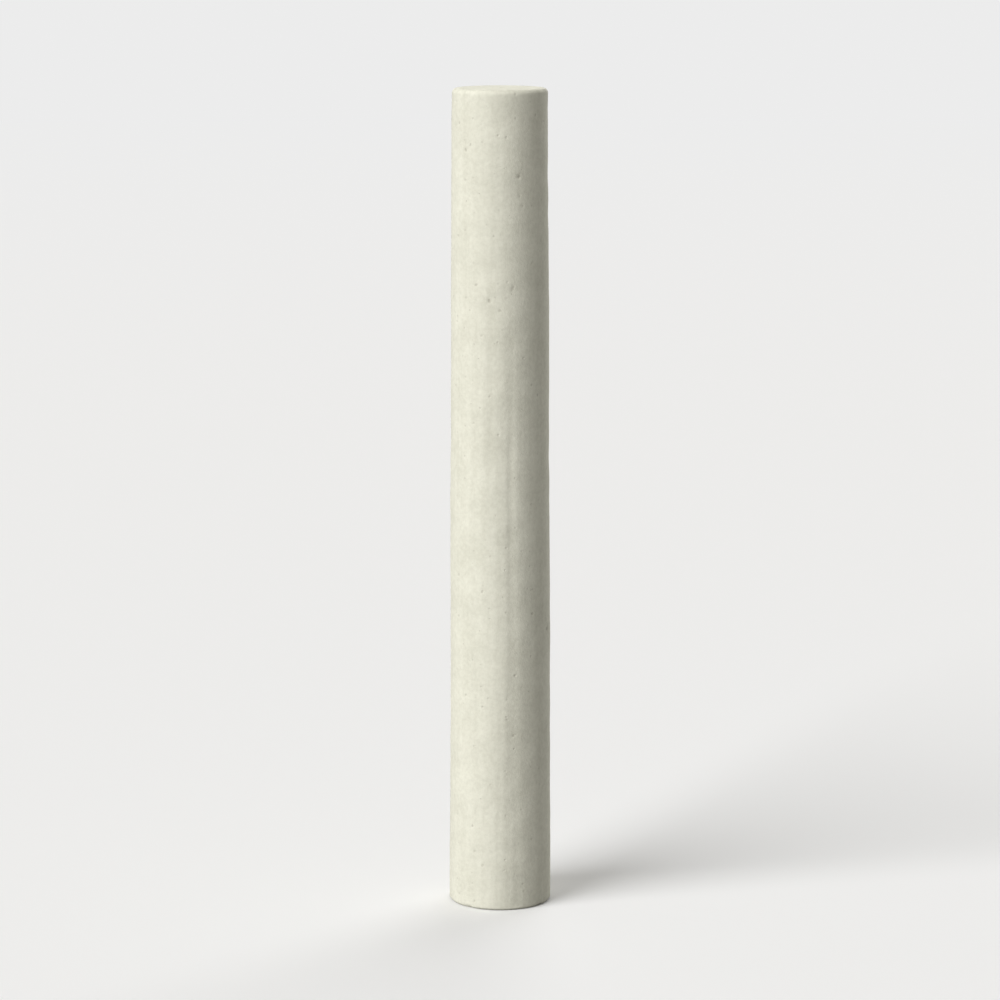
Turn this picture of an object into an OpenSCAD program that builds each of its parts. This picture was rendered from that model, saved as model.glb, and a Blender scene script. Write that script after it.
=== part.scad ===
// Blackboard chalk stick: white chalk cast as one piece in a tapered mould.
//
// The stick stands on its wide end. The origin is the centre of that end face, and
// +Z runs up the stick's axis to the narrow end, which writes. Sizes are in millimetres.

/* [Stick] */

// Length from end face to end face
stick_length = 80; // [50:1:120]
// Diameter of the side where it would meet the wide end face
wide_diameter = 10; // [8:0.1:14]
// Diameter of the side where it would meet the narrow end face
narrow_diameter = 9.2; // [7:0.1:12]

/* [Rims] */

// Radius of the rim at the wide end, which is struck off level at the mould's mouth
wide_rim_radius = 0.3; // [0.1:0.05:1]
// Radius of the rim at the narrow end, which the floor of the mould makes softer
narrow_rim_radius = 0.5; // [0.1:0.05:1.5]

/* [Hidden] */

// Sides round the stick in the preview
$fn = 96;

// Straight steps that make up each rim's round
rim_steps = 8;

chalk_colour = [0.91, 0.90, 0.82];

// Draft of the mould: how far the side leans in from the axis, in degrees
draft_angle = atan((wide_diameter - narrow_diameter) / (2 * stick_length));

// Radius of the side at a height above the wide end face
function side_radius(height) = wide_diameter / 2 - height * tan(draft_angle);

// Centre of the round that touches the side from within, with its centre at a height
function rim_centre(rim_radius, height) =
    [side_radius(height) - rim_radius / cos(draft_angle), height];

// Points of a rim's round, from one angle to another
function rim_round(rim_radius, height, first_angle, last_angle) = [
    for (step = [0:rim_steps])
        let (angle = first_angle + (last_angle - first_angle) * step / rim_steps)
            rim_centre(rim_radius, height) + rim_radius * [cos(angle), sin(angle)]
];

// Half of the stick's lengthwise section, from the wide end up. Each rim's round ends
// square to the flat face on one side and square to the leaning side on the other.
half_section = concat(
    [[0, 0]],
    rim_round(wide_rim_radius, wide_rim_radius, -90, draft_angle),
    rim_round(narrow_rim_radius, stick_length - narrow_rim_radius, draft_angle, 90),
    [[0, stick_length]]
);

// The whole stick, turned from its half section
module chalk_stick() {
    color(chalk_colour)
        rotate_extrude()
            polygon(half_section);
}

chalk_stick();
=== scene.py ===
# %% [markdown]
# # A stick of blackboard chalk
#
# Blackboard chalk is gypsum plaster, poured wet into a tapered mould and pushed out when it has
# set. The stick that comes out is one piece: a long cone, almost a cylinder, with two flat ends.
# What makes it look like chalk, and not like a white plastic rod, is its skin. Air bubbles leave
# small pits, the push out of the mould leaves faint lines along the stick, the rims crumble a
# little, and the powdery surface has no gloss.
#
# A ready-made cylinder with a rough material would pass from across the room. Close up, its outline
# would be too true and its marks would be painted on. So this lesson builds the skin in three
# layers. The shape comes first, as a grid of points turned round an axis. Then pits, lines and
# unevenness move those points in or out. Only what is finer than the grid is left to the material.
# The solid model of the stick is loaded before all that, because it fixes the size and the place of
# everything.

# %% Load the solid model
import math

import bpy
import numpy as np
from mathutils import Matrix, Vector


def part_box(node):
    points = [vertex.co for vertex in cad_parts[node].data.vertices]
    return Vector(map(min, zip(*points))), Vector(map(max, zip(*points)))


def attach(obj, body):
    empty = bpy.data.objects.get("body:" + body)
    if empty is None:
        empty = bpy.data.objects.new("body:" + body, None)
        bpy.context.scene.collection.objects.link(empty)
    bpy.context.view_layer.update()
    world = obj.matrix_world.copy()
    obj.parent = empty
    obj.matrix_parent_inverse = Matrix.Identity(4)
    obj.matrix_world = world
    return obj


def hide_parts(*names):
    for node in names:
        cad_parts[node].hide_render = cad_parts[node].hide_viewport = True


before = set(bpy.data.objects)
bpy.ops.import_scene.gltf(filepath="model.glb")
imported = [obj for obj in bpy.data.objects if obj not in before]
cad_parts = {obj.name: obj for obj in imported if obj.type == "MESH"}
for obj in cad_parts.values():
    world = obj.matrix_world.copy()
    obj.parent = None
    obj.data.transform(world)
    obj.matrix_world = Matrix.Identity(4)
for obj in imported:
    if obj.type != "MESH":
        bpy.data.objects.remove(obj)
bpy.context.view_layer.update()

# %% [markdown]
# ## Measure the solid
#
# The mould gives the real stick its size. Here the solid model does. The new skin has to lie on it,
# so its sizes could be typed in again, but then they would be wrong as soon as the solid changed.
# They are measured instead. The length is the height of the solid's box. For the rest, each corner
# of the solid's mesh has a distance from the axis. The widest corner near an end gives the side's
# radius there, and the flat end stops short of that by the radius of its rim. The draft is the
# angle by which the side leans in, so that the stick slides out of its mould.

# %% Length, radii, rims and draft
MM = 0.001

stick_low, stick_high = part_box("chalk_stick")
stick_length = stick_high.z - stick_low.z

solid_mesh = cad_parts["chalk_stick"].data
corners = np.empty(len(solid_mesh.vertices) * 3, np.float32)
solid_mesh.vertices.foreach_get("co", corners)
corners = corners.reshape(-1, 3).astype(float)
from_axis = np.hypot(corners[:, 0], corners[:, 1])
from_wide_end = corners[:, 2] - stick_low.z
from_narrow_end = stick_high.z - corners[:, 2]

near_end = 1 * MM
at_end = 0.001 * MM
wide_radius = from_axis[from_wide_end < near_end].max()
narrow_radius = from_axis[from_narrow_end < near_end].max()
wide_rim = wide_radius - from_axis[from_wide_end < at_end].max()
narrow_rim = narrow_radius - from_axis[from_narrow_end < at_end].max()
draft = math.atan((wide_radius - narrow_radius) / (stick_length - wide_rim - narrow_rim))

print(f"length {stick_length / MM:.2f} mm, draft {math.degrees(draft):.2f} degrees")
print(f"wide end: radius {wide_radius / MM:.3f} mm, rim {wide_rim / MM:.3f} mm")
print(f"narrow end: radius {narrow_radius / MM:.3f} mm, rim {narrow_rim / MM:.3f} mm")

# %% [markdown]
# ## The half section
#
# Cut the stick along its axis and look at one half: the edge of the cut runs out along the wide
# end, round a small rim, up the leaning side, round the other rim and back in to the axis. Turned
# round the axis, this edge makes the whole stick. It could be drawn as a curve and turned by a
# Screw modifier. Here it is a formula, since the marks that come later need to know where on the
# edge they are.
#
# One number says that: the run, which is the distance gone along the edge from the middle of the
# wide end. From it follow the distance from the axis, the height, and the lean, which is the angle
# of the skin's outward direction above the horizontal. The lean goes from straight down to straight
# up. Pits need it, because they go straight into the skin, and on an end that isn't towards the
# axis.

# %% Corners of the half section
def rim_centre(rim, height):
    """Middle of a rim's round: in from the side by the rim's radius, square to the side."""
    side = wide_radius - (height - wide_rim) * math.tan(draft)
    return np.array([side - rim / math.cos(draft), height])


wide_centre = rim_centre(wide_rim, wide_rim)
narrow_centre = rim_centre(narrow_rim, stick_length - narrow_rim)
square_to_side = np.array([math.cos(draft), math.sin(draft)])

# Where each stretch of the edge ends: distance from the axis and height, and below them the lean
section_corners = np.array([
    [0, 0],
    [wide_centre[0], 0],
    wide_centre + wide_rim * square_to_side,
    narrow_centre + narrow_rim * square_to_side,
    [narrow_centre[0], stick_length],
    [0, stick_length],
])
straight_down, straight_up = -np.pi / 2, np.pi / 2
corner_leans = np.array([straight_down, straight_down, draft, draft, straight_up, straight_up])

# A stretch is as long as its chord, or as its arc where it goes round a rim
chords = np.linalg.norm(np.diff(section_corners, axis=0), axis=1)
arcs = np.array([0, wide_rim, 0, narrow_rim, 0]) * np.diff(corner_leans)
corner_runs = np.concatenate([[0], np.cumsum(np.where(arcs > 0, arcs, chords))])
wide_edge, side_start, side_end, narrow_edge, section_end = corner_runs[1:]
print(f"the edge is {section_end / MM:.2f} mm long")
print(f"the side starts after {side_start / MM:.2f} mm of it")


# %% A function for the half section
def half_section(run):
    """Distance from the axis, height and lean after a run along the section.

    On the flat ends and the side, all three change evenly with the run. On a rim the lean changes
    evenly too, and the point is the rim's middle plus its radius times (cosine, sine) of the lean.
    """
    lean = np.interp(run, corner_runs, corner_leans)
    distance = np.interp(run, corner_runs, section_corners[:, 0])
    height = np.interp(run, corner_runs, section_corners[:, 1])
    wide = (wide_edge, side_start, wide_rim, wide_centre)
    narrow = (side_end, narrow_edge, narrow_rim, narrow_centre)
    for start, end, rim, centre in (wide, narrow):
        on_rim = (run > start) & (run < end)
        distance = np.where(on_rim, centre[0] + rim * np.cos(lean), distance)
        height = np.where(on_rim, centre[1] + rim * np.sin(lean), height)
    return distance, height, lean


middle_distance, middle_height, _ = half_section((side_start + side_end) / 2)
print(f"half-way up: {middle_distance / MM:.3f} mm from the axis, {middle_height / MM:.2f} mm high")


# %% The skin before any mark
def smooth_skin(run, angle):
    """Points of the true stick and their outward directions, for a run and an angle round the axis.

    A point is (distance * cos(angle), distance * sin(angle), height). Its outward direction is
    (cos(lean) * cos(angle), cos(lean) * sin(angle), sin(lean)).
    """
    distance, height, lean = half_section(run)
    round_axis = np.cos(angle), np.sin(angle)
    point = np.stack([distance * round_axis[0], distance * round_axis[1], height], axis=-1)
    out = np.stack([np.cos(lean) * round_axis[0], np.cos(lean) * round_axis[1], np.sin(lean)], axis=-1)
    return point, out


_, side_out = smooth_skin((side_start + side_end) / 2, 0)
print(f"half-way up, the side faces {math.degrees(math.asin(side_out[2])):.2f} degrees above level")

# %% [markdown]
# ## The grid
#
# A round body is a grid bent round an axis: rows are rings, and columns are lines from one end to
# the other. A subdivided cylinder has the same points, but here each point also keeps its run and
# angle, so that every mark can be worked out from them for the whole grid at once. Most pits are
# 0.2 to 0.4 mm across, and cells of 0.16 by 0.18 mm still show them while the mesh stays below
# 200,000 triangles. The rims turn sharply and get closer rings. The two middles of the ends, where
# all columns meet, are left out of the grid and added later as single points, so that the mesh has
# no cells without an area.

# %% Rings and columns
columns = 200
rings_on_end = 22
rings_on_rim = 8
rings_on_side = 434
rings_in_stretch = [rings_on_end, rings_on_rim, rings_on_side, rings_on_rim, rings_on_end]

stretches = zip(corner_runs[:-1], corner_runs[1:], rings_in_stretch)
runs = np.concatenate([
    np.linspace(start, end, count, endpoint=False)
    for start, end, count in stretches
])
angles = np.linspace(0, 2 * np.pi, columns, endpoint=False)
run, angle = np.meshgrid(runs[1:], angles, indexing="ij")

distance, height, lean = half_section(run)
smooth_points, outward = smooth_skin(run, angle)
on_side = (run >= side_start) & (run <= side_end)
on_wide_end = run <= wide_edge

cell_width = 2 * np.pi * wide_radius / columns
cell_height = (side_end - side_start) / rings_on_side
print(f"{run.shape[0]} rings of {columns} points")
print(f"cells of {cell_width / MM:.2f} by {cell_height / MM:.2f} mm on the side")

# %% [markdown]
# ## Unevenness
#
# Plaster never sets perfectly true. The mould is a little worn, the mix shrinks unevenly as it
# dries, and the skin has a fine tooth. A Displace modifier with a cloud texture could do this. A
# sum of sine waves that run in random directions does it too, in a few lines of numpy. It is smooth
# and has no seam, because it depends only on the place in space, and a seeded generator makes it
# the same on every run. Long waves may rise higher than short ones: what the eye sees is the slope.
# The stick left its mould through the wide end, so a bump that stands farther out than the wide end
# would have been sheared off. The unevenness stops there.

# %% A function for waves, and three sizes of them
seed = 4
rng = np.random.default_rng(seed)


def waves(points, shortest, longest, rise, count):
    """Sum of sine waves: each is sin(2 pi * distance along its own direction / wavelength + phase).

    The sum is scaled so that its root mean square is the given rise.
    """
    directions = rng.normal(size=(count, 3))
    directions /= np.linalg.norm(directions, axis=1, keepdims=True)
    wavelengths = rng.uniform(shortest, longest, count)
    phases = rng.uniform(0, 2 * np.pi, count)
    turns = points @ (directions / wavelengths[:, None]).T
    return rise * np.sin(2 * np.pi * turns + phases).sum(axis=-1) / math.sqrt(count / 2)


mould_wear = waves(smooth_points, shortest=14 * MM, longest=34 * MM, rise=0.02 * MM, count=24)
shrinkage = waves(smooth_points, shortest=2.2 * MM, longest=6 * MM, rise=0.012 * MM, count=24)
fine_tooth = waves(smooth_points, shortest=0.6 * MM, longest=1.3 * MM, rise=0.0022 * MM, count=40)
unevenness = np.minimum(mould_wear + shrinkage + fine_tooth, wide_radius - distance)
print(f"unevenness from {unevenness.min() / MM:.3f} to {unevenness.max() / MM:.3f} mm")

# %% [markdown]
# ## Drag lines
#
# When the stick is pushed out, grit on the wall of the mould scores it lengthwise. The scores are
# shallow grooves. Each one starts and stops somewhere, and leans a fraction of a degree, because
# the stick may turn a hair as it moves. A stretched noise in the material would give lines too, but
# all alike and without an end. So each groove is worked out by itself: across it, its depth follows
# a bell curve, and along it the depth fades in and out.

# %% A function for one drag line
fade_length = 6 * MM


def fade(value, start, end, soft):
    """0 outside start and end, 1 well inside, and s * s * (3 - 2 * s) in between.

    There s is the share of the soft length that lies between the value and the nearer end.
    """
    rise = np.clip((value - start) / soft, 0, 1)
    fall = np.clip((end - value) / soft, 0, 1)
    edge = np.minimum(rise, fall)
    return edge * edge * (3 - 2 * edge)


def around(angle_from):
    """An angle brought to within half a turn of 0: half a turn more, wrapped at a turn, and back."""
    return (angle_from + np.pi) % (2 * np.pi) - np.pi


def drag_line(at_angle, start, end, half_width, slant):
    """How deep one groove is at each grid point: exp(-(distance across / half width) squared)."""
    middle = at_angle + slant * (height - start) / distance
    across = distance * around(angle - middle)
    return np.exp(-((across / half_width) ** 2)) * fade(height, start, end, fade_length)


print(f"a drag line fades over {fade_length / MM:.0f} mm at each end")

# %% Score the side
line_count = 90
lowest_start, highest_start = -0.25, 0.75
shortest_line, longest_line = 15 * MM, 70 * MM
finest_half, broadest_half = 0.14 * MM, 0.42 * MM
usual_slant = math.radians(0.25)

# A groove is at most a tenth as deep as it is half wide, and most are far shallower
deepest_share = 0.10
mostly_shallow = (1.3, 3)

line_angles = rng.uniform(0, 2 * np.pi, line_count)
line_starts = rng.uniform(lowest_start, highest_start, line_count) * stick_length
line_ends = line_starts + rng.uniform(shortest_line, longest_line, line_count)
line_half_widths = rng.uniform(finest_half, broadest_half, line_count)
line_slants = rng.normal(0, usual_slant, line_count)
line_depths = line_half_widths * deepest_share * rng.beta(*mostly_shallow, line_count)

scores = np.zeros_like(height)
scored = np.zeros_like(height)
lines = zip(line_angles, line_starts, line_ends, line_half_widths, line_slants)
for line, depth in zip(lines, line_depths):
    groove = drag_line(*line)
    scores += depth * groove
    scored = np.maximum(scored, groove * depth / line_depths.max())
scores *= on_side
scored *= on_side
print(f"{line_count} drag lines, the deepest {line_depths.max() / MM:.3f} mm")

# %% [markdown]
# ## Air pits
#
# Bubbles that touched the wall of the mould leave round pits, and a few that were dragged along it
# leave long ones. Cutting each with a Boolean would be slow and would tear up the grid. Pushing in
# the grid points that lie inside a pit is quick and keeps the mesh whole.
#
# Each pit has its own directions on the skin, along and across. A point's distance from the pit's
# middle is measured in those directions and divided by the half length and the half width, so that
# the edge of every pit, round or long, is at 1. A third direction, straight out of the skin, keeps
# a pit on its own side of the stick.

# %% A function for where a pit lies
front = -np.pi / 2


def pit_frame(run, angle, turn):
    """Middle of each pit, its long direction, and outward.

    The long direction is cos(turn) * upright + sin(turn) * level, both measured in the skin.
    """
    middle, out = smooth_skin(run, angle)
    level = np.stack([-np.sin(angle), np.cos(angle), np.zeros_like(angle)], axis=-1)
    upright = np.cross(out, level)
    turn = turn[:, None]
    return middle, np.cos(turn) * upright + np.sin(turn) * level, out


_, along, out = pit_frame(np.array([section_end / 2]), np.array([front]), np.array([0]))
print("a pit on the front faces", out[0].round(2), "and an upright one runs along", along[0].round(2))

# %% A function that cuts pits
reach_through_skin = 4


def cut_pits(middles, alongs, outs, half_lengths, half_widths, depths):
    """Depth of the pits at each grid point, and how far inside the nearest pit's edge the point is.

    The depth is the pit's own depth times (1 - d squared), where d is 0 at the pit's middle and 1 at
    its edge. The second result is 1 - d: 1 in the middle, 0 at the edge and -1 away from all pits.
    """
    depth = np.zeros_like(height)
    inside = np.full_like(height, -1.0)
    pits = zip(middles, alongs, outs, half_lengths, half_widths, depths)
    for middle, along, out, half_length, half_width, pit_depth in pits:
        offset = smooth_points - middle
        shares = (
            offset @ along / half_length,
            offset @ np.cross(along, out) / half_width,
            offset @ out / (half_length * reach_through_skin),
        )
        d = np.sqrt(sum(share ** 2 for share in shares))
        depth = np.maximum(depth, pit_depth * np.clip(1 - d * d, 0, 1))
        inside = np.maximum(inside, 1 - d)
    return depth, inside


print(f"a pit reaches {reach_through_skin} half lengths through the skin, so never to the far side")


# %% Scatter pits over the skin
def scatter(first_run, last_run, count, is_end):
    """Random runs and angles, spread evenly over a stretch of the skin.

    On an end the stretch starts in the middle and its rings get longer outwards, so there the run
    grows as the root of an even share.
    """
    share = rng.uniform(0, 1, count)
    share = np.sqrt(share) if is_end else share
    return first_run + (last_run - first_run) * share, rng.uniform(0, 2 * np.pi, count)


pits_on_side, pits_on_wide_end, pits_on_narrow_end = 70, 10, 6
side_runs, side_angles = scatter(side_start, side_end, pits_on_side, is_end=False)
wide_runs, wide_angles = scatter(0, wide_edge, pits_on_wide_end, is_end=True)
narrow_runs, narrow_angles = scatter(section_end, narrow_edge, pits_on_narrow_end, is_end=True)
strewn_runs = np.concatenate([side_runs, wide_runs, narrow_runs])
strewn_angles = np.concatenate([side_angles, wide_angles, narrow_angles])
strewn = len(strewn_runs)
print(f"{strewn} strewn pits")

# %% Sizes of the strewn pits
narrowest_half, width_range = 0.10 * MM, 0.16 * MM
length_range = 0.9
shallowest, steepest = 0.2, 0.6
usual_turn = math.radians(25)
mostly_small = (1.2, 4)
mostly_round = (1, 4)

strewn_turns = rng.normal(0, usual_turn, strewn)
strewn_half_widths = narrowest_half + width_range * rng.beta(*mostly_small, strewn)
strewn_half_lengths = strewn_half_widths * (1 + length_range * rng.beta(*mostly_round, strewn))
strewn_depths = strewn_half_widths * rng.uniform(shallowest, steepest, strewn)
widths = 2 * strewn_half_widths / MM
narrowest, widest, usual = widths.min(), widths.max(), np.median(widths)
print(f"they are {narrowest:.2f} to {widest:.2f} mm wide, and half are under {usual:.2f} mm")

# %% Place four pits one by one and cut them all
# One column for each pit. Angles are counted from the front, and turns from upright
front_runs = np.array([64.9, 66.1, 64.0, 66.4]) * MM
front_angles = np.radians([-12.0, 15.6, 0.5, -28.5])
front_turns = np.radians([-28, 24, 75, 80])
front_half_lengths = np.array([0.28, 0.36, 0.24, 0.26]) * MM
front_half_widths = np.array([0.17, 0.14, 0.16, 0.15]) * MM
front_depths = np.array([0.100, 0.060, 0.035, 0.025]) * MM

middles, alongs, outs = pit_frame(
    np.concatenate([front_runs, strewn_runs]),
    np.concatenate([front + front_angles, strewn_angles]),
    np.concatenate([front_turns, strewn_turns]),
)
half_lengths = np.concatenate([front_half_lengths, strewn_half_lengths])
half_widths = np.concatenate([front_half_widths, strewn_half_widths])
depths = np.concatenate([front_depths, strewn_depths])
pit_depth, pit_inside = cut_pits(middles, alongs, outs, half_lengths, half_widths, depths)
longest, deepest = 2 * half_lengths.max(), depths.max()
print(f"{len(depths)} pits, the longest {longest / MM:.2f} mm, the deepest {deepest / MM:.2f} mm")

# %% [markdown]
# ## Ends and rims
#
# The wide end is the open mouth of the mould. The wet plaster there is struck off level with a
# straight edge, which leaves fine scrape marks all one way. The narrow end takes the smooth floor
# of the mould. Both rims are brittle and lose a crumb here and there. A Bevel modifier would make
# the rims perfectly even, and a grit texture would roughen the flats as well. So waves do it again,
# cut off at a level, which leaves bare stretches between the crumbs. All of this only takes plaster
# away: the stick still stands on its highest points.

# %% Scrape the wide end
scrape_angle = math.radians(23)
scrape_count = 9
shortest_scrape, longest_scrape = 0.8 * MM, 2.2 * MM
scrape_depth = 0.004 * MM
scrape_level = -1.5

scrape_lengths = rng.uniform(shortest_scrape, longest_scrape, scrape_count)
scrape_phases = rng.uniform(0, 2 * np.pi, scrape_count)


def scraped_off(points):
    """Depth that the straight edge takes: sine waves across its path, cut off at a level."""
    across = points @ np.array([math.cos(scrape_angle), math.sin(scrape_angle), 0])
    marks = np.sin(2 * np.pi * across[..., None] / scrape_lengths + scrape_phases).sum(axis=-1)
    return scrape_depth * np.clip(marks - scrape_level, 0, None)


wide_end_wear = scraped_off(smooth_points) * on_wide_end
print(f"scraped to {wide_end_wear.max() / MM:.3f} mm")

# %% Crumble the rims
crumb_depth = 0.05 * MM
crumb_level = 0.8
largest_crumb = 1.8

# 0 on the ends, next to nothing on the side, and 1 half-way round a rim
half_way_round = np.abs(np.sin(2 * lean))
crumbs = waves(smooth_points, shortest=0.4 * MM, longest=1.8 * MM, rise=1.0, count=40)
rim_wear = crumb_depth * np.clip(crumbs - crumb_level, 0, largest_crumb) * half_way_round
print(f"crumbled to {rim_wear.max() / MM:.3f} mm")

# %% [markdown]
# ## One closed mesh
#
# The stick was cast in one pour, so it is one closed mesh. The layers are added up and move each
# point along its outward direction. Faces are rows of corner numbers, and these are worked out as
# whole arrays too: each cell of the grid joins a ring to the next one, and a fan of triangles
# closes each end.

# %% Move the grid
end_margin = 2 * MM

side_only = fade(run, side_start, side_end, end_margin)
offset_out = unevenness * side_only - scores - pit_depth - wide_end_wear - rim_wear
points = smooth_points + outward * offset_out[..., None]
bottom = np.array([[0, 0, scraped_off(np.zeros(3)) + pit_depth[0].mean()]])
top = np.array([[0, 0, stick_length - pit_depth[-1].mean()]])
vertices = np.concatenate([points.reshape(-1, 3), bottom, top])
print(f"the skin moved by {offset_out.min() / MM:.3f} to {offset_out.max() / MM:.3f} mm")

# %% Join the points into faces
numbers = np.arange(run.size).reshape(run.shape)
next_column = np.roll(numbers, -1, axis=1)
cell_corners = [numbers[:-1], next_column[:-1], next_column[1:], numbers[1:]]
cells = np.stack(cell_corners, axis=-1).reshape(-1, len(cell_corners))
bottom_number, top_number = np.full(columns, run.size), np.full(columns, run.size + 1)
bottom_fan = np.stack([next_column[0], numbers[0], bottom_number], axis=-1)
top_fan = np.stack([numbers[-1], next_column[-1], top_number], axis=-1)

stick_mesh = bpy.data.meshes.new("chalk_skin")
stick_mesh.from_pydata(vertices, [], [*cells.tolist(), *bottom_fan.tolist(), *top_fan.tolist()])
stick_mesh.shade_smooth()
stick_mesh.update()
print(f"{len(vertices)} points, {2 * len(cells) + 2 * columns} triangles")

# %% [markdown]
# ## The skin laid flat
#
# The material below is worked out by Blender's nodes, which games and web pages don't run. They
# need the finish as a picture, and a UV map tells them where on it each face lies. Smart UV Project
# could make the map, but it cuts the rims into scraps, and every scrap may leave a speck. The grid
# is a flat map already: its columns go across and its run goes up. As one strip it would be almost
# three times as tall as it is wide. So it is cut half-way, and the upper half lies to the right of
# the lower one, which fills a square evenly. A narrow gap round each half keeps the colours from
# leaking across.

# %% A map of two halves
gap_on_map = 0.008

ring_runs = run[:, 0]
cut_run = ring_runs[np.searchsorted(ring_runs, section_end / 2)]


def lay_flat(column, corner_run):
    """Places on the map for the corners of faces, from their columns and runs.

    Across is the share of all columns, and up is the share of the run within its half. Both are
    shrunk by the gap, and the upper half moves to the right of the lower one.
    """
    column, corner_run = np.broadcast_arrays(column, corner_run)
    is_upper = corner_run.mean(axis=-1, keepdims=True) > cut_run
    start, end = np.where(is_upper, cut_run, 0), np.where(is_upper, section_end, cut_run)
    kept = 1 - 2 * gap_on_map
    across = (is_upper + gap_on_map + kept * column / columns) / 2
    up = gap_on_map + kept * (corner_run - start) / (end - start)
    return np.stack([across, up], axis=-1).reshape(-1, 2)


# Corner by corner, as in the faces. The middle of an end lies half-way across each column.
column = np.arange(columns)[:, None]
lower, upper = ring_runs[:-1, None], ring_runs[1:, None]
cell_runs = np.hstack([lower, lower, upper, upper])[:, None]
lowest, highest = ring_runs[0], ring_runs[-1]
cell_places = lay_flat(column + np.array([0, 1, 1, 0]), cell_runs)
bottom_places = lay_flat(column + np.array([1, 0, 0.5]), np.array([lowest, lowest, 0]))
top_places = lay_flat(column + np.array([0, 1, 0.5]), np.array([highest, highest, section_end]))

places = np.concatenate([cell_places, bottom_places, top_places]).astype(np.float32)
stick_mesh.uv_layers.new(name="OFBake").data.foreach_set("uv", places.ravel())
_, cut_height, _ = half_section(cut_run)
print(f"{len(places)} corners laid flat, and the halves part {cut_height / MM:.1f} mm up the stick")

# %% [markdown]
# ## Numbers for the material
#
# A pit on real chalk looks darker partly because dust collects in it and partly because it lies in
# shade. Here both go into the colour as a darker tone, so a pit is painted shade with some dust in it.
# A drag line is where the loose powder is rubbed off. The material has to know where both are. It
# could find the hollows by itself from the shape, but that takes extra rays and misses the shallow
# ones. The grid already knows, so it hands each point two numbers as attributes, which stay with the
# mesh.

# %% Attributes, and the stick takes the solid's place
def add_attribute(name, values, at_bottom, at_top):
    """A number for every point of the mesh: the grid's values, then one for each end's middle."""
    numbers_per_point = np.concatenate([values.ravel(), [at_bottom, at_top]]).astype(np.float32)
    stick_mesh.attributes.new(name, "FLOAT", "POINT").data.foreach_set("value", numbers_per_point)


# The pit number also sets where the colour is darkened: painted shade in the pits, with some dust
add_attribute("pit", pit_inside, at_bottom=-1, at_top=-1)
add_attribute("drag", scored, at_bottom=0, at_top=0)

chalk = bpy.data.objects.new("chalk_skin", stick_mesh)
bpy.context.scene.collection.objects.link(chalk)
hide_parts("chalk_stick")
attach(chalk, "root")
print("the piece", chalk.name, "rides on root and stands for chalk_stick")

# %% [markdown]
# ## The chalk material
#
# The skin of the stick is dry plaster powder that was pressed against the wall of a mould. It is
# white with a breath of cream, it is dull from every side, and its tone is a little uneven: loose
# powder is lighter, and skin that was rubbed bare is darker and a touch smoother.
#
# One flat colour would look like plastic, and a picture wrapped round the mesh would have a seam.
# Noise that is read by the place in space has neither fault: the pattern goes right through the
# stick, as if it had been cut from a block. A material is a tree of nodes joined by links. Written
# one by one the links would hide the recipe, so helpers make them. The first one adds any node, and
# sets or links its inputs.

# %% An empty material, and a helper that fills it
def add_node(tree, kind, values=(), **settings):
    """Adds a shader node with its settings, and fills its inputs with numbers, colours or sockets.

    Inputs go by name, or by number where a node's names repeat.
    """
    made = tree.nodes.new(kind)
    for name, value in settings.items():
        setattr(made, name, value)
    for name, value in dict(values).items():
        if isinstance(value, bpy.types.NodeSocket):
            tree.links.new(value, made.inputs[name])
        else:
            made.inputs[name].default_value = value
    return made


def new_tree(owner):
    """The node tree of a material or world, emptied."""
    owner.use_nodes = True
    owner.node_tree.nodes.clear()
    return owner.node_tree


cast_chalk = bpy.data.materials.new("cast chalk")
stick_mesh.materials.append(cast_chalk)
chalk_tree = new_tree(cast_chalk)
place = add_node(chalk_tree, "ShaderNodeTexCoord").outputs["Object"]
print("the chalk is patterned by:", place.name, "coordinates")

# %% [markdown]
# ### Tone
#
# Three things make the tone of real chalk uneven, each at its own scale. The plaster dries in soft
# blotches of a few millimetres. Loose powder lies on the skin in patches of less than half a
# millimetre. The wall of the mould leaves streaks, less than a millimetre wide, which run
# lengthwise. Each could be a material of its own, mixed with the others. It is simpler to add them
# up to one number, from 0 where powder lies to 1 where the skin is bare, and to let that number set
# both the colour and the roughness. The drag lines join in by their attribute.
#
# A noise seldom comes near 0 or 1. So the part of its range that it really uses is stretched over
# the whole range from 0 to 1.

# %% Blotches, powder and streaks
def cloud(tree, size, detail, roughness, lengthen=1):
    """Cloudy noise around 0.5, with blotches of about this size, lengthen times longer along Z."""
    drawn_out = add_node(tree, "ShaderNodeMapping", {"Vector": place, "Scale": (1, 1, 1 / lengthen)})
    look = {"Scale": 1 / size, "Detail": detail, "Roughness": roughness}
    return add_node(tree, "ShaderNodeTexNoise", {"Vector": drawn_out.outputs[0], **look}).outputs[0]


def ramp(tree, value, low, high, to_low=0.0, to_high=1.0):
    """A value from low to high, brought evenly to between to_low and to_high and held there."""
    sockets = {"Value": value, "From Min": low, "From Max": high, "To Min": to_low, "To Max": to_high}
    return add_node(tree, "ShaderNodeMapRange", sockets).outputs["Result"]


used_range = (0.36, 0.66)
used_by_streaks = (0.40, 0.70)

blotch_cloud = cloud(chalk_tree, size=2.6 * MM, detail=5, roughness=0.6)
powder_cloud = cloud(chalk_tree, size=0.42 * MM, detail=3, roughness=0.6)
streak_cloud = cloud(chalk_tree, size=0.7 * MM, detail=3, roughness=0.55, lengthen=30)

blotches = ramp(chalk_tree, blotch_cloud, *used_range)
powder = ramp(chalk_tree, powder_cloud, *used_range)
streaks = ramp(chalk_tree, streak_cloud, *used_by_streaks)
drag = add_node(chalk_tree, "ShaderNodeAttribute", attribute_name="drag").outputs["Fac"]
print(f"clouds use {used_range[0]} to {used_range[1]} of their range")

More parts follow.
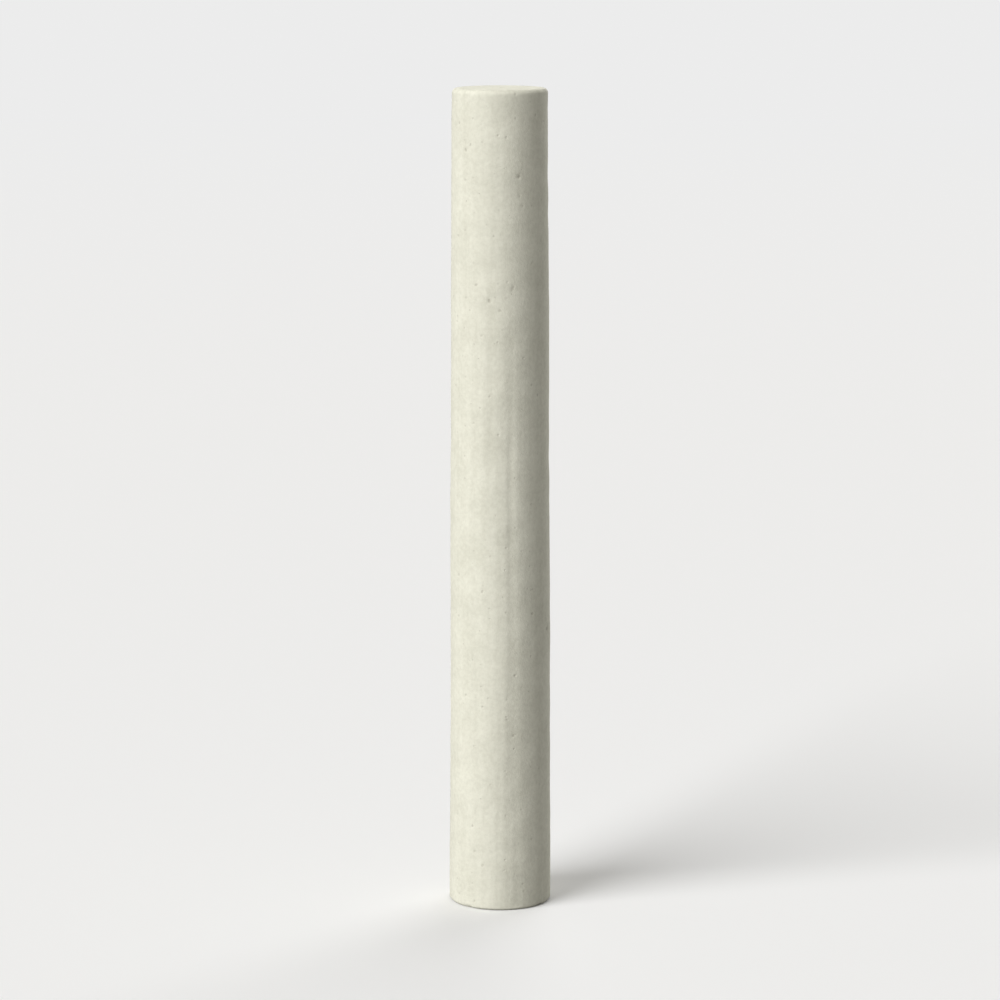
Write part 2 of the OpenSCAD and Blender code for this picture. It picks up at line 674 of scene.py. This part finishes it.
# %% Add them up to the tone
def maths(tree, operation, first, second):
    """One sum of two numbers or sockets, such as ADD or MULTIPLY."""
    sum_node = add_node(tree, "ShaderNodeMath", {0: first, 1: second}, operation=operation)
    return sum_node.outputs["Value"]


tone_shares = [(blotches, 0.38), (powder, 0.42), (streaks, 0.20), (drag, 0.20)]
tone = 0.0
for layer, share in tone_shares:
    tone = maths(chalk_tree, "ADD", maths(chalk_tree, "MULTIPLY", layer, share), tone)
print(f"{len(tone_shares)} layers make the tone")

# %% [markdown]
# ### Pores
#
# Between the pits the skin has pores: bubbles that only just broke through. There are hundreds, and
# half of them are no wider than a cell of the grid. Dots painted at random places would need a list
# of places. A Voronoi texture holds one already: it fills space with strewn points, and gives the
# distance to the nearest of them. Where the skin passes close to a point, it gets a pore.
#
# The texture also gives each point a random colour. One channel of it serves as the luck of the
# draw. Raised to a power it is mostly small and seldom large, and so are the pores.

# %% Pores of many sizes
pore_spacing = 0.8 * MM
pore_middle, pore_edge = 0.06, 0.17
smallest_pore, largest_pore = 0.3, 1.5
pore_rarity = 2.5

pores = add_node(chalk_tree, "ShaderNodeTexVoronoi", {"Vector": place, "Scale": 1 / pore_spacing})
luck = add_node(chalk_tree, "ShaderNodeSeparateColor", {"Color": pores.outputs["Color"]})
rare = maths(chalk_tree, "POWER", luck.outputs["Red"], pore_rarity)
pore_size = ramp(chalk_tree, rare, 0, 1, smallest_pore, largest_pore)
to_pore = maths(chalk_tree, "DIVIDE", pores.outputs["Distance"], pore_size)
# This sets both the pores' bump and, further down, their painted shade in the colour
pore_floor = ramp(chalk_tree, to_pore, pore_middle, pore_edge)

pore_width = 2 * pore_edge * pore_spacing / MM
print(f"bubbles are {pore_width * smallest_pore:.2f} to {pore_width * largest_pore:.2f} mm wide")

# %% [markdown]
# ### Colour
#
# White chalk isn't a neutral white: the plaster has a warm cast. So the powder gets a creamy white,
# and the bare skin the same hue, darker. Pits and pores are then darkened in the colour, after the
# tone, so that a pit looks the same in a light blotch and in a dark one. In the pits this is painted
# shade with some dust in it, and in the pores it is painted shade. A pit reaches its full painted
# shade a third of the way in, and no mark is as dark as the pit colour, because there is always some
# powder left in it.

# %% Mix the colour
powder_white = (0.875, 0.864, 0.742, 1)
bare_skin = (0.715, 0.704, 0.591, 1)
# The colour of painted shade in pits and pores, with a little dust in the pits
pit_painted_shade_and_dust = (0.49, 0.47, 0.39, 1)
# How much of that painted shade a pore and a pit get at most
darkest_pore_painted_shade, darkest_pit_shade_and_dust = 0.25, 0.5
full_painted_shade_from = 0.35

# A Mix node has sockets for every kind of value. These are the numbers of those for colours
first_colour, second_colour, mixed_colour = 6, 7, 2


def tint(tree, amount, colour, other):
    """Colour where amount is 0, changing evenly to the other where it is 1."""
    sockets = {0: amount, first_colour: colour, second_colour: other}
    mix = add_node(tree, "ShaderNodeMix", sockets, data_type="RGBA")
    return mix.outputs[mixed_colour]


pit = add_node(chalk_tree, "ShaderNodeAttribute", attribute_name="pit").outputs["Fac"]
# Painted shade: the pits, with some dust, and the pores darken the colour
pit_painted_shade_amount = ramp(chalk_tree, pit, 0, full_painted_shade_from, 0, darkest_pit_shade_and_dust)
pore_painted_shade_amount = ramp(chalk_tree, pore_floor, 0, 1, darkest_pore_painted_shade, 0)

skin_colour = tint(chalk_tree, tone, powder_white, bare_skin)
colour_with_pore_shade = tint(chalk_tree, pore_painted_shade_amount, skin_colour, pit_painted_shade_and_dust)
chalk_colour = tint(chalk_tree, pit_painted_shade_amount, colour_with_pore_shade, pit_painted_shade_and_dust)
print("the colour runs from", powder_white[:3], "to", bare_skin[:3])

# %% [markdown]
# ### Grain and gloss
#
# Chalk is made of grains far smaller than the grid. They are too fine to see one by one, but they
# break up the light, so they are a bump: it tilts the normals and leaves the points alone. There
# are two layers of it, a fine one for the dust and a coarser one for grains that have clumped
# together. The pores are the third.
#
# Powder sends light back in all directions and has almost no gloss, so the roughness is near 1 and
# the specular level close to nothing. A rubbed skin is slightly smoother, so the roughness follows
# the tone. The specular level stays the same all over the surface, and is set on the shader itself.
# The shader's Diffuse Roughness would flatten the shading a little more. It stays at 0, because
# most files for games can't hold it, and the stick would look different there.

# %% Three layers of bump
dust_size, dust_depth = 0.09 * MM, 0.012 * MM
grain_size, grain_depth = 0.28 * MM, 0.03 * MM
pore_depth = 0.03 * MM


def bump(tree, level, depth, **normal):
    """A normal tilted by the slope of level times depth, on top of another normal if one is given."""
    sockets = {"Height": level, "Distance": depth, **normal}
    return add_node(tree, "ShaderNodeBump", sockets).outputs["Normal"]


dust_cloud = cloud(chalk_tree, size=dust_size, detail=3, roughness=0.6)
grain_cloud = cloud(chalk_tree, size=grain_size, detail=4, roughness=0.6)
dusty = bump(chalk_tree, dust_cloud, dust_depth)
grainy = bump(chalk_tree, grain_cloud, grain_depth, Normal=dusty)
pored = bump(chalk_tree, pore_floor, pore_depth, Normal=grainy)
print(f"dust {dust_depth / MM} mm deep, grain {grain_depth / MM} mm, pores {pore_depth / MM} mm")

# %% The finished chalk
powder_roughness, bare_roughness = 0.95, 0.8
specular_level = 0.08

chalk_values = {
    "Base Color": chalk_colour,
    "Roughness": ramp(chalk_tree, tone, 0, 1, powder_roughness, bare_roughness),
    "Normal": pored,
    "Specular IOR Level": specular_level,
}
chalk_shader = add_node(chalk_tree, "ShaderNodeBsdfPrincipled", chalk_values)
add_node(chalk_tree, "ShaderNodeOutputMaterial", {"Surface": chalk_shader.outputs[0]})
print(f"the chalk is made of {len(chalk_tree.nodes)} nodes")

# %% [markdown]
# ## Light
#
# A dull white thing shows its shape only by its shading, so the light has to come from one side and
# yet be soft. In a studio that is a large white screen at the front left, and a weaker one behind.
# Area lamps would do, but their light gets weaker with distance, and the two ends of the stick
# would differ. A sun lamp is even, and its angle sets how large it looks from the stick: a spread
# of 42 degrees is a screen three quarters as wide as it is far away. The world adds a little light
# from all around, which fills the shade.
#
# The levels are chosen so that a lit white stays just under pure white, and no part of the stick
# clips.

# %% Lamps
world_level = 0.275
world_tint = (1, 0.98, 0.93, 1)

# In degrees, as all angles of the lamps are
upright = 90
lamps = {
    "key": {"strength": 2.77, "angle": -50, "elevation": 32, "spread": 42},
    "back_fill": {"strength": 1.9, "angle": 160, "elevation": 16, "spread": 50},
}


def hang_lamp(name, strength, angle, elevation, spread):
    """A sun lamp. Its angle is counted from the front, towards +X, and its elevation from level.

    Unturned it shines straight down, so it is tilted by what its elevation lacks from upright.
    """
    data = bpy.data.lights.new(name, "SUN")
    data.energy = strength
    data.angle = math.radians(spread)
    lamp = bpy.data.objects.new(name, data)
    bpy.context.scene.collection.objects.link(lamp)
    lamp.rotation_euler = (math.radians(upright - elevation), 0, math.radians(angle))


for name, settings in lamps.items():
    hang_lamp(name, **settings)

# Sunlight of strength pi, straight from above, makes a white floor exactly 1 bright
floor_light = world_level + sum(
    lamp["strength"] * math.sin(math.radians(lamp["elevation"])) / math.pi
    for lamp in lamps.values()
)
print(f"a white floor would be {floor_light:.2f} bright")

# %% [markdown]
# ## The stage
#
# The stick stands on a pale floor that runs on without a horizon. In a studio this is a sheet of
# paper swept up behind the thing. Here it is a flat disc, lit as usual near the stick, so that it
# takes the shadow. Farther out it changes to a plain glow of the same brightness as the world, and
# its edge can't be seen.
#
# A pale floor also throws light back up and washes out the shade on the stick. So the floor and the
# world each have two faces. Rays that end in the picture, straight or by a mirror or a glass, meet
# the pale one. Rays that only carry light meet a duller floor, and the world's light level.

# %% Tell the two kinds of ray apart
backdrop_level = 0.84


def seen_directly(tree):
    """1 for rays that end in the picture, straight or by a mirror or glass, and 0 for other rays."""
    rays = add_node(tree, "ShaderNodeLightPath").outputs
    mirrored = maths(tree, "MAXIMUM", rays["Is Glossy Ray"], rays["Is Transmission Ray"])
    return maths(tree, "MAXIMUM", rays["Is Camera Ray"], mirrored)


def grey(level):
    """A colour with the same level in red, green and blue."""
    return (level, level, level, 1)


seen_grey = backdrop_level / floor_light
print(f"a floor of grey {seen_grey:.2f} looks {backdrop_level} bright in this light")

# %% The floor's mesh
floor_radius = 3.0
floor_corners = 96

# The corner at each angle is (radius * cos(angle), radius * sin(angle), 0)
floor_angles = np.linspace(0, 2 * np.pi, floor_corners, endpoint=False)
floor_edge = np.stack([np.cos(floor_angles), np.sin(floor_angles), np.zeros(floor_corners)], axis=-1)
floor_mesh = bpy.data.meshes.new("floor")
floor_mesh.from_pydata(floor_radius * floor_edge, [], [list(range(floor_corners))])
floor = bpy.data.objects.new("floor", floor_mesh)
bpy.context.scene.collection.objects.link(floor)
print(f"a floor {2 * floor_radius:.0f} m across")

# %% The floor's material
dull_grey = 0.35
glow_start, glow_full = 0.3, 1.2

floor_material = bpy.data.materials.new("floor")
floor_mesh.materials.append(floor_material)
floor_tree = new_tree(floor_material)
seen = seen_directly(floor_tree)
floor_place = add_node(floor_tree, "ShaderNodeTexCoord").outputs["Object"]
to_middle = add_node(floor_tree, "ShaderNodeVectorMath", {0: floor_place}, operation="LENGTH")
glow_share = ramp(floor_tree, to_middle.outputs["Value"], glow_start, glow_full)

dull = add_node(floor_tree, "ShaderNodeBsdfDiffuse", {"Color": grey(dull_grey)}).outputs[0]
pale = add_node(floor_tree, "ShaderNodeBsdfDiffuse", {"Color": grey(seen_grey)}).outputs[0]
glow = add_node(floor_tree, "ShaderNodeEmission", {"Color": grey(backdrop_level)}).outputs[0]
shown = add_node(floor_tree, "ShaderNodeMixShader", {0: glow_share, 1: pale, 2: glow}).outputs[0]
all_rays = add_node(floor_tree, "ShaderNodeMixShader", {0: seen, 1: dull, 2: shown}).outputs[0]
add_node(floor_tree, "ShaderNodeOutputMaterial", {"Surface": all_rays})
print(f"the floor glows from {glow_start} to {glow_full} m out")

# %% The world
world = bpy.data.worlds.new("studio")
bpy.context.scene.world = world
world_tree = new_tree(world)
seen = seen_directly(world_tree)
strength = ramp(world_tree, seen, 0, 1, world_level, backdrop_level)
colour = tint(world_tree, seen, world_tint, grey(1))
background = add_node(world_tree, "ShaderNodeBackground", {"Color": colour, "Strength": strength})
add_node(world_tree, "ShaderNodeOutputWorld", {"Surface": background.outputs[0]})
print(f"the world lights at {world_level} and shows at {backdrop_level}")

# %% [markdown]
# ## The camera
#
# A small thing is looked at from as far away as a book, and a little from above, so that its upper
# end just shows as a thin oval. A short lens close by would make the near end bulge. So the camera
# keeps that distance, and its lens is worked out from the height of the picture at the stick. The
# view transform is Standard, which shows each colour as it is written, while the default would dull
# the whites.

# %% Camera and view
eye = Vector((4.3 * MM, -342 * MM, 99 * MM))
aim = Vector((0, 0, stick_length / 2))
picture_height = 97.5 * MM
nearest, farthest = 0.01, 10

camera_data = bpy.data.cameras.new("camera")
camera = bpy.data.objects.new("camera", camera_data)
bpy.context.scene.collection.objects.link(camera)
look = aim - eye
camera.location = eye
camera.rotation_euler = look.to_track_quat("-Z", "Y").to_euler()
camera_data.lens = camera_data.sensor_width * look.length / picture_height
camera_data.clip_start, camera_data.clip_end = nearest, farthest
bpy.context.scene.camera = camera
bpy.context.scene.view_settings.view_transform = "Standard"
print(f"a lens of {camera_data.lens:.0f} mm, {look.length:.3f} m away")
